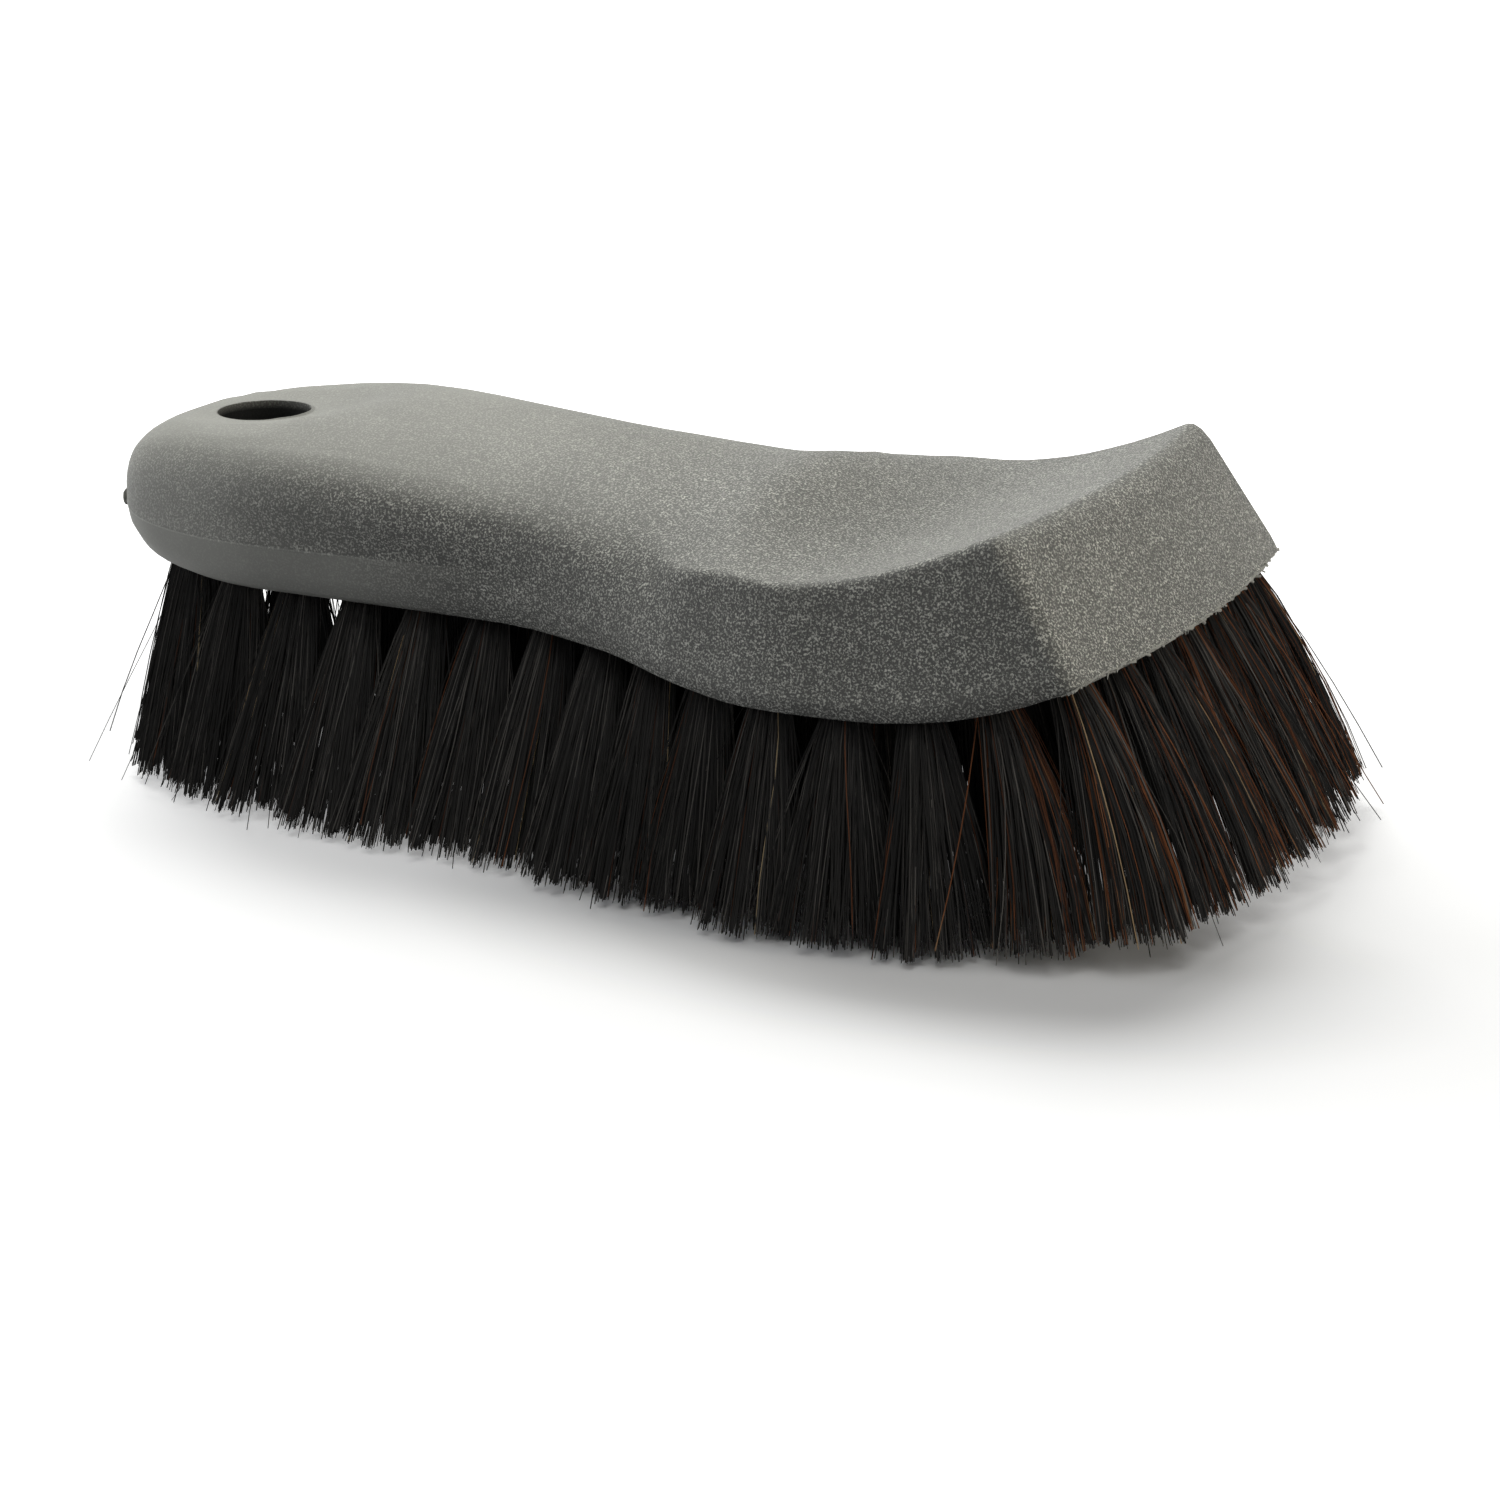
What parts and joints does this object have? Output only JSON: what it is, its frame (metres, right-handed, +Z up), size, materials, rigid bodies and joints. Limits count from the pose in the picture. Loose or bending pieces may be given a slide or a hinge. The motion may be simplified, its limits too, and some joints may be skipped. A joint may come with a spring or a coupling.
{
  "type": "horsehair cleaning brush",
  "caption": "Palm-grip cleaning brush: grey moulded block with a hanging hole and a wide upswept head, holding separate black horsehair tufts in slanted blind holes.",
  "frame": {"origin": "middle of the brush's overall box, on the plane that the trimmed hair tips stand on", "axes": "+X along the block towards the wide head, +Y across the block, +Z up from the hair tips to the grip"},
  "size_m": [0.1758, 0.0976, 0.0535],
  "materials": {
    "grey_moulded_plastic": "fine spark-grain texture",
    "black_horsehair": "natural hair with a few brown and pale hairs"
  },
  "bodies": {
    "root": {"moulded_block": "grey_moulded_plastic", "hair_tuft_01": "black_horsehair", "hair_tuft_02": "black_horsehair", "hair_tuft_03": "black_horsehair", "hair_tuft_04": "black_horsehair", "hair_tuft_05": "black_horsehair", "hair_tuft_06": "black_horsehair", "hair_tuft_07": "black_horsehair", "hair_tuft_08": "black_horsehair", "hair_tuft_09": "black_horsehair", "hair_tuft_10": "black_horsehair", "hair_tuft_11": "black_horsehair", "hair_tuft_12": "black_horsehair", "hair_tuft_13": "black_horsehair", "hair_tuft_14": "black_horsehair", "hair_tuft_15": "black_horsehair", "hair_tuft_16": "black_horsehair", "hair_tuft_17": "black_horsehair", "hair_tuft_18": "black_horsehair", "hair_tuft_19": "black_horsehair", "hair_tuft_20": "black_horsehair", "hair_tuft_21": "black_horsehair", "hair_tuft_22": "black_horsehair", "hair_tuft_23": "black_horsehair", "hair_tuft_24": "black_horsehair", "hair_tuft_25": "black_horsehair", "hair_tuft_26": "black_horsehair", "hair_tuft_27": "black_horsehair", "hair_tuft_28": "black_horsehair", "hair_tuft_29": "black_horsehair", "hair_tuft_30": "black_horsehair", "hair_tuft_31": "black_horsehair", "hair_tuft_32": "black_horsehair", "hair_tuft_33": "black_horsehair", "hair_tuft_34": "black_horsehair", "hair_tuft_35": "black_horsehair", "hair_tuft_36": "black_horsehair", "hair_tuft_37": "black_horsehair", "hair_tuft_38": "black_horsehair", "hair_tuft_39": "black_horsehair", "hair_tuft_40": "black_horsehair", "hair_tuft_41": "black_horsehair", "hair_tuft_42": "black_horsehair", "hair_tuft_43": "black_horsehair", "hair_tuft_44": "black_horsehair", "hair_tuft_45": "black_horsehair", "hair_tuft_46": "black_horsehair", "hair_tuft_47": "black_horsehair", "hair_tuft_48": "black_horsehair", "hair_tuft_49": "black_horsehair", "hair_tuft_50": "black_horsehair", "hair_tuft_51": "black_horsehair", "hair_tuft_52": "black_horsehair", "hair_tuft_53": "black_horsehair", "hair_tuft_54": "black_horsehair", "hair_tuft_55": "black_horsehair", "hair_tuft_56": "black_horsehair", "hair_tuft_57": "black_horsehair", "hair_tuft_58": "black_horsehair"}
  },
  "joints": []
}
